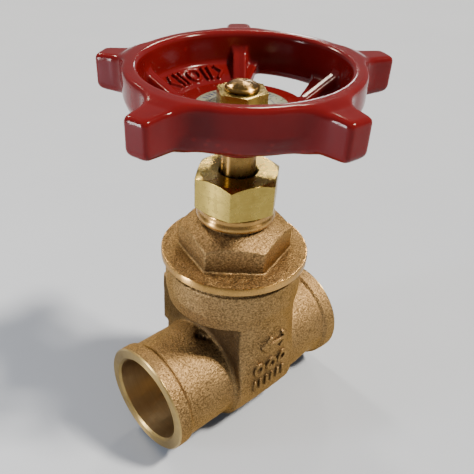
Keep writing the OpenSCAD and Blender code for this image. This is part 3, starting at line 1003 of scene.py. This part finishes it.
def wheel_web(x, y, z, rho):
    """The dished web with its marks, four windows and five ribs, and the boss under it."""
    dish_slope, web_thickness, web_r, mark_height = 0.355, 3, 23, 0.7
    web_top = np.where(rho < HUB_R, HUB_TOP, HUB_TOP + dish_slope * (rho - HUB_R))
    web_low = HUB_TOP - web_thickness + 0.44 * np.clip(rho - HUB_R, 0, 9)
    web = smooth_max(z - web_top, web_low - z, 0.6) / 1.06
    web = smooth_max(web, rho - web_r, 0.5)
    marks = np.maximum(wheel_marks(x, y, rho), 13 - rho)
    web = smooth_min(web, np.maximum(web - mark_height, marks), 0.25)
    for k in range(1, LUGS):
        web = smooth_max(web, -wheel_window(x, y, rho, LUG_AZIMUTH + k * 360 / LUGS), 0.4)
    for k in range(LUGS):
        u, v = wheel_sector(x, y, LUG_AZIMUTH + k * 360 / LUGS)
        web = smooth_min(web, wheel_rib(u, v, z, web_low), 0.5)
    boss_r = 7
    boss = np.maximum(smooth_max(rho - boss_r, WHEEL_LOW[2] - z, 0.8), z - HUB_TOP + 1)
    return smooth_min(web, boss, 1.4)


def wheel_shape(x, y, z):
    """The whole wheel, with the square hole for the stem."""
    square_half = 3.15
    rho = np.hypot(x, y)
    top = RIM_TOP + 0.2 - 0.7 * ease((rho - 24.4) / 3) - 0.05 * np.clip(rho - 26, 0, 7)
    wheel = smooth_min(wheel_web(x, y, z, rho), wheel_rim(x, y, z, rho, top), 1.0)
    return np.maximum(wheel, square_half - np.maximum(np.abs(x), np.abs(y)))


def handwheel(enamel):
    room = 1
    piece = cast_piece("handwheel_casting", wheel_shape, WHEEL_LOW - room, WHEEL_HIGH + room, WHEEL_CELL)
    crisp(piece, 60)
    place(piece, "spindle", "handwheel", "red_enamel", enamel)


# ------------------------------------------------------- hidden CAD pieces

def dress_cad_nodes(looks):
    """Give the CAD pieces inside the valve their own materials."""
    for node, material in looks.items():
        mesh = frame["nodes"][node].data
        mesh.materials.clear()
        mesh.materials.append(material)


# ----------------------------------------------------------- camera and stage

def into_scene(name, data):
    """A camera or a light of this kind, put into the scene."""
    piece = bpy.data.objects.new(name, data)
    bpy.context.scene.collection.objects.link(piece)
    return piece


def camera():
    """The camera, with the picture's perspective."""
    azimuth, elevation = -40.06, 36.2
    data = bpy.data.cameras.new("camera")
    data.sensor_width = 36
    data.lens = 46.05
    data.shift_x = 0.1055
    data.shift_y = 0.0464
    data.clip_start = 0.001
    eye = into_scene("camera", data)
    eye.location = Vector((-87.6, -86.3, 120.5)) * MM
    eye.rotation_euler = (math.radians(90 - elevation), 0, math.radians(azimuth))
    bpy.context.scene.camera = eye


def soft_box(name, position, target, size, power):
    """A rectangular soft light, in metres and watts."""
    data = bpy.data.lights.new(name, "AREA")
    data.shape = "RECTANGLE"
    data.size, data.size_y = size
    data.energy = power
    light = into_scene(name, data)
    light.location = position
    light.rotation_euler = (Vector(position) - Vector(target)).to_track_quat("Z", "Y").to_euler()


def distant(name, direction, energy, spread, colour=(1, 1, 1)):
    """A far soft light that comes from a direction; the spread is in degrees."""
    data = bpy.data.lights.new(name, "SUN")
    data.energy = energy
    data.color = colour
    data.angle = math.radians(spread)
    into_scene(name, data).rotation_euler = Vector(direction).to_track_quat("Z", "Y").to_euler()


def lights():
    warm = (1.0, 0.88, 0.70)
    distant("key", (0.38, -0.42, 0.82), 7.4, 8, warm)
    distant("behind", (0.05, 0.78, 0.62), 1.7, 9, warm)
    distant("back", (0.64, 0.54, 0.54), 0.7, 6, warm)
    distant("low", (0.75, 0.62, 0.24), 0.08, 4)
    soft_box("left", (-0.31, 0.12, 0.07), (0, 0, 0.035), (0.05, 0.13), 1.0)
    world = bpy.data.worlds.new("studio")
    world.use_nodes = True
    background = world.node_tree.nodes["Background"]
    background.inputs["Color"].default_value = (1, 1, 1, 1)
    background.inputs["Strength"].default_value = 0.30
    bpy.context.scene.world = world


def stage():
    """A wide pale floor under the valve."""
    reach = 4000
    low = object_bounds()[0][2] / MM
    corners = [(-reach, -reach, low), (reach, -reach, low), (reach, reach, low), (-reach, reach, low)]
    floor = new_object("floor", corners, [(0, 1, 2, 3)])
    floor.data.materials.append(floor_material())
    floor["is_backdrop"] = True


# ---------------------------------------------------------------------- build

bronze = cast_bronze()
faced = machined("faced_bronze", (0.50, 0.35, 0.13), (0.29, 0.19, 0.07), 0.22, "x", 0.32, 0.46)
bored = machined("bored_bronze", (0.58, 0.41, 0.21), (0.40, 0.27, 0.13), 0.5, "x", 0.34, 0.44)
faced_up = machined("turned_bronze", (0.50, 0.29, 0.09), (0.30, 0.165, 0.05), 0.25, "z")
brass_look = machined("yellow_brass", (0.46, 0.34, 0.085), (0.28, 0.19, 0.045), 0.5, "z")
# The stem's brass is darker than the nuts' brass: painted shade for the wheel's shadow over it.
wheel_shaded_stem = machined("stem_in_painted_shade", (0.31, 0.185, 0.055), (0.17, 0.095, 0.03), 0.5, "z")
graphite = pressed("packing_graphite", (0.10, 0.10, 0.11), (0.04, 0.04, 0.045), 0.5, 0.4, 0.7)
fibre = pressed("gasket_fibre", (0.07, 0.06, 0.05), (0.02, 0.018, 0.015), 0.6, 0.6, 0.9)

camera()
valve_body(bronze, faced, bored)
bonnet(bronze, faced_up)
packing_nut(brass_look)
stem(wheel_shaded_stem)
handwheel(red_enamel())
identification_plate(printed_plate())
handwheel_nut(brass_look)
dress_cad_nodes({
    "gate_wedge": faced,
    "bonnet_gasket": fibre,
    "thrust_washer": brass_look,
    "packing_ring_lower": graphite,
    "packing_ring_middle": graphite,
    "packing_ring_upper": graphite,
    "gland_follower": brass_look,
})
stage()
lights()
